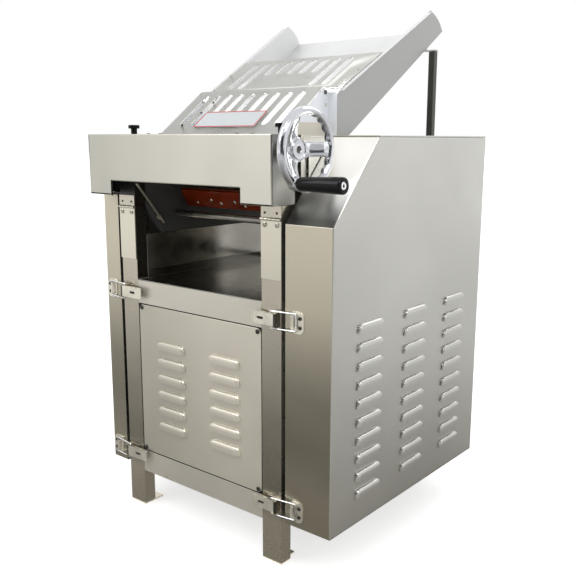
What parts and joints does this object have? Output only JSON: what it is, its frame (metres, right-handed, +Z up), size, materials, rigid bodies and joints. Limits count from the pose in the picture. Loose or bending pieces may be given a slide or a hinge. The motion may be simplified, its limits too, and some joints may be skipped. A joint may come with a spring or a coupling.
{
  "type": "electric dough press",
  "caption": "Free-standing roller dough press in stainless sheet: sloping feed tray, slotted guards, two driven rollers, gap handwheel, side casings on toggle latches.",
  "frame": {"origin": "middle of the base on the floor: centre of the bounding box in plan, at the underside of the feet", "axes": "+Z up, -Y towards the front opening, +X towards the handwheel"},
  "size_m": [0.7136, 0.7112, 1.15],
  "materials": {
    "front_steel": "brushed stainless sheet, warm grey",
    "side_steel": "brushed stainless sheet, cool grey",
    "guard_steel": "fine satin stainless sheet",
    "mirror_steel": "mirror polished stainless",
    "machined_steel": "turned bright steel",
    "cast_iron": "grey cast iron and plate",
    "chrome": "polished chrome",
    "dark_paint": "dark olive-black paint",
    "red_paint": "dull red enamel",
    "black_plastic": "glossy black phenolic",
    "belt_rubber": "matt rubber",
    "motor_paint": "blue-grey enamel",
    "label_white": "white plate with a thin red edge"
  },
  "bodies": {
    "frame": {"post_front_left": "front_steel", "post_front_right": "front_steel", "post_rear_left": "side_steel", "post_rear_right": "side_steel", "rail_front_upper": "front_steel", "rail_front_lower": "front_steel", "rail_rear": "side_steel", "base_shelf": "side_steel", "front_panel": "front_steel", "rear_panel": "side_steel", "casing_left": "side_steel", "casing_right": "side_steel", "deck": "side_steel", "hood": "front_steel", "chamber_floor": "mirror_steel", "inner_wall_left": "mirror_steel", "inner_wall_right": "mirror_steel", "back_wall": "machined_steel", "scraper_strip": "red_paint", "tie_bar": "machined_steel", "cheek_left": "cast_iron", "cheek_right": "cast_iron", "motor": "motor_paint", "drive_belt": "belt_rubber", "guard_side_left": "guard_steel", "guard_side_right": "guard_steel", "feed_tray": "guard_steel", "tray_guard": "guard_steel", "tray_post_left": "dark_paint", "tray_post_right": "dark_paint", "cable_gland": "black_plastic"},
    "rear_roller": {"roller_rear": "mirror_steel", "drive_gear": "cast_iron", "link_gear_rear": "cast_iron"},
    "front_carriage": {"bearing_block_left": "machined_steel", "bearing_block_right": "machined_steel"},
    "front_roller": {"roller_front": "mirror_steel", "link_gear_front": "cast_iron"},
    "counter_drive": {"countershaft": "machined_steel"},
    "motor_rotor": {"motor_pulley": "machined_steel"},
    "gap_wheel": {"handwheel": "chrome", "adjusting_shaft": "machined_steel"},
    "grip": {"wheel_grip": "black_plastic"},
    "gap_nut_left": {"gap_nut_left": "cast_iron"},
    "gap_nut_right": {"gap_nut_right": "cast_iron"},
    "guard": {"front_guard": "guard_steel", "guard_label": "label_white"},
    "flap_left": {"flap_left": "front_steel"},
    "flap_right": {"flap_right": "front_steel"},
    "thumb_knob_left": {"thumb_knob_left": "black_plastic"},
    "thumb_knob_right": {"thumb_knob_right": "black_plastic"},
    "power_switch": {"power_switch": "black_plastic"},
    "latch_lever_upper_left": {"latch_lever_upper_left": "chrome"},
    "latch_bail_upper_left": {"latch_bail_upper_left": "chrome"},
    "latch_lever_upper_right": {"latch_lever_upper_right": "chrome"},
    "latch_bail_upper_right": {"latch_bail_upper_right": "chrome"},
    "latch_lever_lower_left": {"latch_lever_lower_left": "chrome"},
    "latch_bail_lower_left": {"latch_bail_lower_left": "chrome"},
    "latch_lever_lower_right": {"latch_lever_lower_right": "chrome"},
    "latch_bail_lower_right": {"latch_bail_lower_right": "chrome"}
  },
  "joints": [
    {"name": "rear_roller_spin", "type": "hinge", "parent": "frame", "child": "rear_roller", "pos_m": [-0.05325, -0.0261, 0.795], "axis": [1, 0, 0], "continuous": true},
    {"name": "gap_slide", "type": "slide", "parent": "frame", "child": "front_carriage", "axis": [0, -1, 0], "range_m": [-0.004, 0.011]},
    {"name": "front_roller_spin", "type": "hinge", "parent": "front_carriage", "child": "front_roller", "pos_m": [-0.05325, -0.13511, 0.795], "axis": [1, 0, 0], "continuous": true},
    {"name": "countershaft_spin", "type": "hinge", "parent": "frame", "child": "counter_drive", "pos_m": [0.22675, 0.05847, 0.76422], "axis": [1, 0, 0], "continuous": true},
    {"name": "motor_spin", "type": "hinge", "parent": "frame", "child": "motor_rotor", "pos_m": [0.22675, 0.0349, 0.24], "axis": [1, 0, 0], "continuous": true},
    {"name": "handwheel_turn", "type": "hinge", "parent": "frame", "child": "gap_wheel", "pos_m": [0.23275, -0.2766, 0.837], "axis": [1, 0, 0], "range_deg": [-480, 1320]},
    {"name": "grip_spin", "type": "hinge", "parent": "gap_wheel", "child": "grip", "pos_m": [0.30675, -0.31011, 0.77898], "axis": [1, 0, 0], "continuous": true},
    {"name": "guard_lift", "type": "hinge", "parent": "frame", "child": "guard", "pos_m": [-0.05325, -0.0564, 0.95056], "axis": [-1, 0, 0], "range_deg": [0, 70]},
    {"name": "switch_turn", "type": "hinge", "parent": "frame", "child": "power_switch", "pos_m": [0.06675, 0.33489, 0.7], "axis": [0, 1, 0], "range_deg": [0, 90]},
    {"name": "gap_nut_left_spin", "type": "hinge", "parent": "frame", "child": "gap_nut_left", "pos_m": [-0.26525, -0.2766, 0.795], "axis": [0, 1, 0], "range_deg": [-240, 660]},
    {"name": "flap_left_swing", "type": "hinge", "parent": "frame", "child": "flap_left", "pos_m": [-0.26475, -0.2686, 0.707], "axis": [-1, 0, 0], "range_deg": [0, 100]},
    {"name": "thumb_knob_left_turn", "type": "hinge", "parent": "frame", "child": "thumb_knob_left", "pos_m": [-0.26625, -0.23811, 0.875], "axis": [0, 0, -1], "range_deg": [0, 1080]},
    {"name": "gap_nut_right_spin", "type": "hinge", "parent": "frame", "child": "gap_nut_right", "pos_m": [0.15875, -0.2766, 0.795], "axis": [0, 1, 0], "range_deg": [-240, 660]},
    {"name": "flap_right_swing", "type": "hinge", "parent": "frame", "child": "flap_right", "pos_m": [0.15825, -0.2686, 0.707], "axis": [-1, 0, 0], "range_deg": [0, 100]},
    {"name": "thumb_knob_right_turn", "type": "hinge", "parent": "frame", "child": "thumb_knob_right", "pos_m": [0.15975, -0.23811, 0.875], "axis": [0, 0, -1], "range_deg": [0, 1080]},
    {"name": "latch_upper_left_open", "type": "hinge", "parent": "frame", "child": "latch_lever_upper_left", "pos_m": [-0.28125, -0.2761, 0.516], "axis": [0, 0, -1], "range_deg": [0, 95]},
    {"name": "latch_upper_left_bail", "type": "hinge", "parent": "latch_lever_upper_left", "child": "latch_bail_upper_left", "pos_m": [-0.26525, -0.27736, 0.516], "axis": [0, 0, -1], "range_deg": [-95, 0]},
    {"name": "latch_upper_right_open", "type": "hinge", "parent": "frame", "child": "latch_lever_upper_right", "pos_m": [0.17475, -0.2761, 0.516], "axis": [0, 0, 1], "range_deg": [0, 95]},
    {"name": "latch_upper_right_bail", "type": "hinge", "parent": "latch_lever_upper_right", "child": "latch_bail_upper_right", "pos_m": [0.15875, -0.27736, 0.516], "axis": [0, 0, 1], "range_deg": [-95, 0]},
    {"name": "latch_lower_left_open", "type": "hinge", "parent": "frame", "child": "latch_lever_lower_left", "pos_m": [-0.28125, -0.2761, 0.131], "axis": [0, 0, -1], "range_deg": [0, 95]},
    {"name": "latch_lower_left_bail", "type": "hinge", "parent": "latch_lever_lower_left", "child": "latch_bail_lower_left", "pos_m": [-0.26525, -0.27736, 0.131], "axis": [0, 0, -1], "range_deg": [-95, 0]},
    {"name": "latch_lower_right_open", "type": "hinge", "parent": "frame", "child": "latch_lever_lower_right", "pos_m": [0.17475, -0.2761, 0.131], "axis": [0, 0, 1], "range_deg": [0, 95]},
    {"name": "latch_lower_right_bail", "type": "hinge", "parent": "latch_lever_lower_right", "child": "latch_bail_lower_right", "pos_m": [0.15875, -0.27736, 0.131], "axis": [0, 0, 1], "range_deg": [-95, 0]}
  ],
  "couplings": [
    {"joint": "front_roller_spin", "follows": "rear_roller_spin", "ratio": -1},
    {"joint": "countershaft_spin", "follows": "rear_roller_spin", "ratio": -2},
    {"joint": "motor_spin", "follows": "rear_roller_spin", "ratio": -6.0714},
    {"joint": "gap_slide", "follows": "handwheel_turn", "m_per_rad": 0.00047746},
    {"joint": "gap_nut_left_spin", "follows": "handwheel_turn", "ratio": 0.5},
    {"joint": "gap_nut_right_spin", "follows": "handwheel_turn", "ratio": 0.5},
    {"joint": "latch_upper_left_bail", "follows": "latch_upper_left_open", "ratio": -1},
    {"joint": "latch_upper_right_bail", "follows": "latch_upper_right_open", "ratio": -1},
    {"joint": "latch_lower_left_bail", "follows": "latch_lower_left_open", "ratio": -1},
    {"joint": "latch_lower_right_bail", "follows": "latch_lower_right_open", "ratio": -1}
  ]
}
